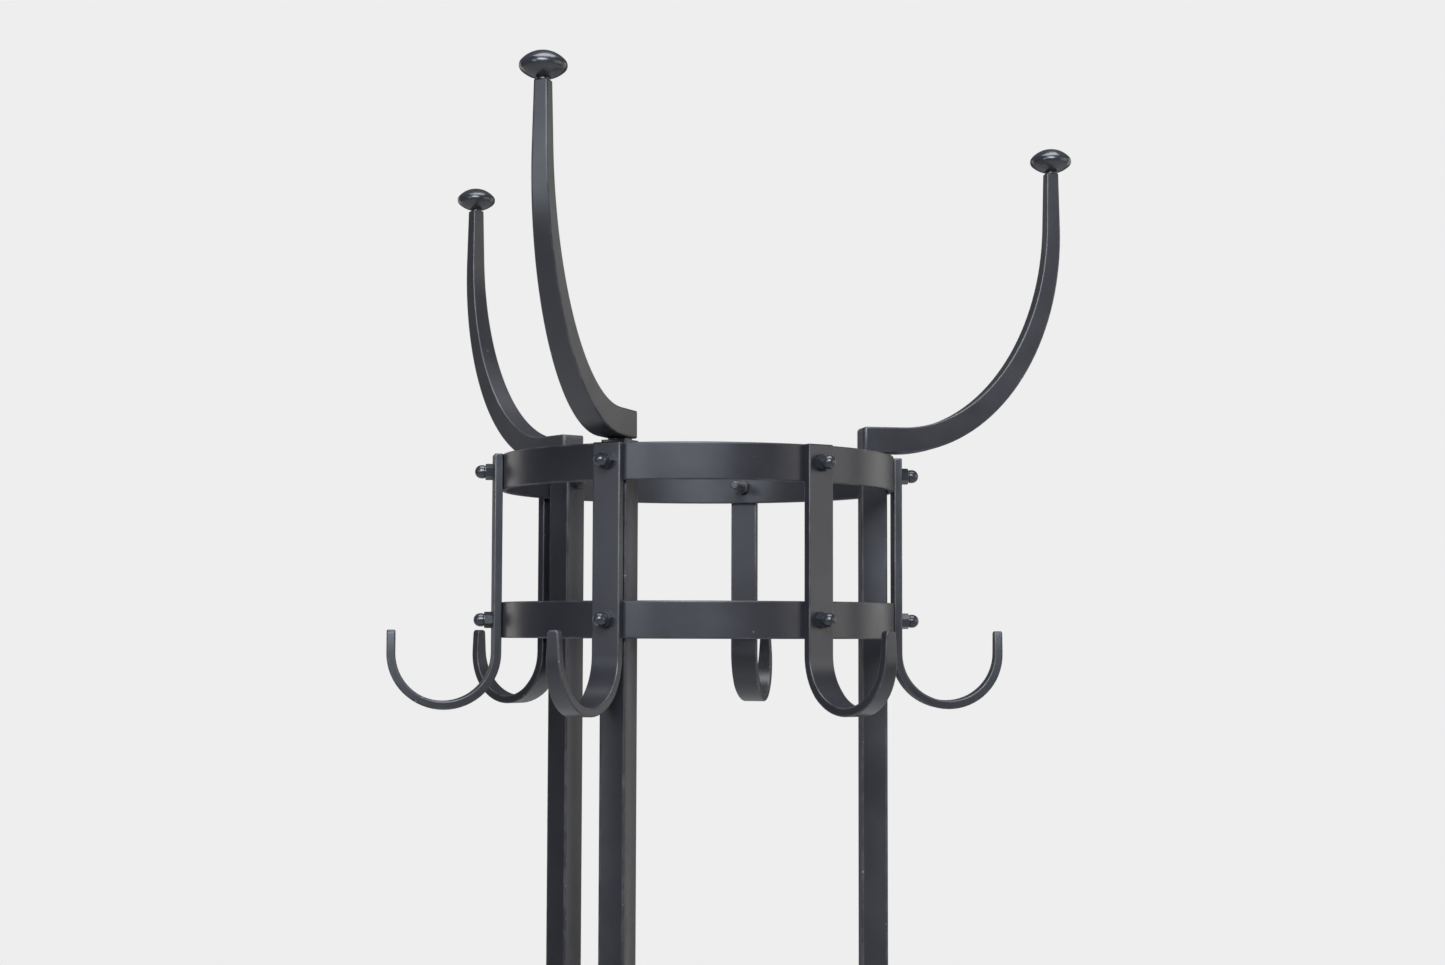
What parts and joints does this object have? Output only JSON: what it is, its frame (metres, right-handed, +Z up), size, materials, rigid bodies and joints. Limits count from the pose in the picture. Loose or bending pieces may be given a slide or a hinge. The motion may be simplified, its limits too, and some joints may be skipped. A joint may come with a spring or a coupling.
{
  "type": "standing coat rack",
  "caption": "Tall free-standing coat rack: square posts inside round flat-bar hoops, J-shaped coat hooks around them and curved hat arms with round knobs on top.",
  "frame": {"origin": "on the floor, on the vertical axis of the round hoops", "axes": "+Z up; +X from the axis towards post 1, its foot and hook 1; posts 2 and 3 follow at 138.5 and 243 degrees; at rest the hat arms stand turned on their posts by 7.5, -14.5 and 5.5 degrees"},
  "size_m": [0.4936, 0.4649, 1.8528],
  "materials": {
    "satin_lacquer": "satin anthracite lacquer",
    "gloss_lacquer": "glossy near-black lacquer",
    "blackened_steel": "blackened, low sheen",
    "bare_steel": "turned steel, inside the joints",
    "rubber_glide": "matte black rubber"
  },
  "bodies": {
    "stand": {"arm_spacers": "blackened_steel", "arm_studs": "bare_steel", "cap_nuts_base": "gloss_lacquer", "cap_nuts_hook": "gloss_lacquer", "cap_nuts_top": "gloss_lacquer", "cap_nuts_umbrella": "gloss_lacquer", "foot_1": "satin_lacquer", "foot_2": "satin_lacquer", "foot_3": "satin_lacquer", "foot_spacers": "blackened_steel", "foot_studs": "bare_steel", "glide_1": "rubber_glide", "glide_2": "rubber_glide", "glide_3": "rubber_glide", "hook_1": "satin_lacquer", "hook_2": "satin_lacquer", "hook_3": "satin_lacquer", "hook_4": "satin_lacquer", "hook_5": "satin_lacquer", "hook_6": "satin_lacquer", "hoop_base": "satin_lacquer", "hoop_hook": "satin_lacquer", "hoop_top": "satin_lacquer", "hoop_umbrella": "satin_lacquer", "nuts_base": "blackened_steel", "nuts_hook": "blackened_steel", "nuts_top": "blackened_steel", "nuts_umbrella": "blackened_steel", "post_1": "satin_lacquer", "post_2": "satin_lacquer", "post_3": "satin_lacquer", "post_plugs_bottom": "satin_lacquer", "post_plugs_top": "satin_lacquer", "screws_base": "blackened_steel", "screws_hook": "blackened_steel", "screws_top": "blackened_steel", "screws_umbrella": "blackened_steel"},
    "hat_arm_1": {"arm_1": "satin_lacquer", "knob_1": "gloss_lacquer", "knob_stud_1": "bare_steel"},
    "hat_arm_2": {"arm_2": "satin_lacquer", "knob_2": "gloss_lacquer", "knob_stud_2": "bare_steel"},
    "hat_arm_3": {"arm_3": "satin_lacquer", "knob_3": "gloss_lacquer", "knob_stud_3": "bare_steel"}
  },
  "joints": [
    {"name": "arm_1_swivel", "type": "hinge", "parent": "stand", "child": "hat_arm_1", "pos_m": [0.12592, 0, 1.62375], "axis": [0, 0, 1], "range_deg": [-97.5, 82.5]},
    {"name": "arm_2_swivel", "type": "hinge", "parent": "stand", "child": "hat_arm_2", "pos_m": [-0.09431, 0.08343, 1.62375], "axis": [0, 0, 1], "range_deg": [-75.5, 104.5]},
    {"name": "arm_3_swivel", "type": "hinge", "parent": "stand", "child": "hat_arm_3", "pos_m": [-0.05717, -0.11219, 1.62375], "axis": [0, 0, 1], "range_deg": [-95.5, 84.5]}
  ]
}
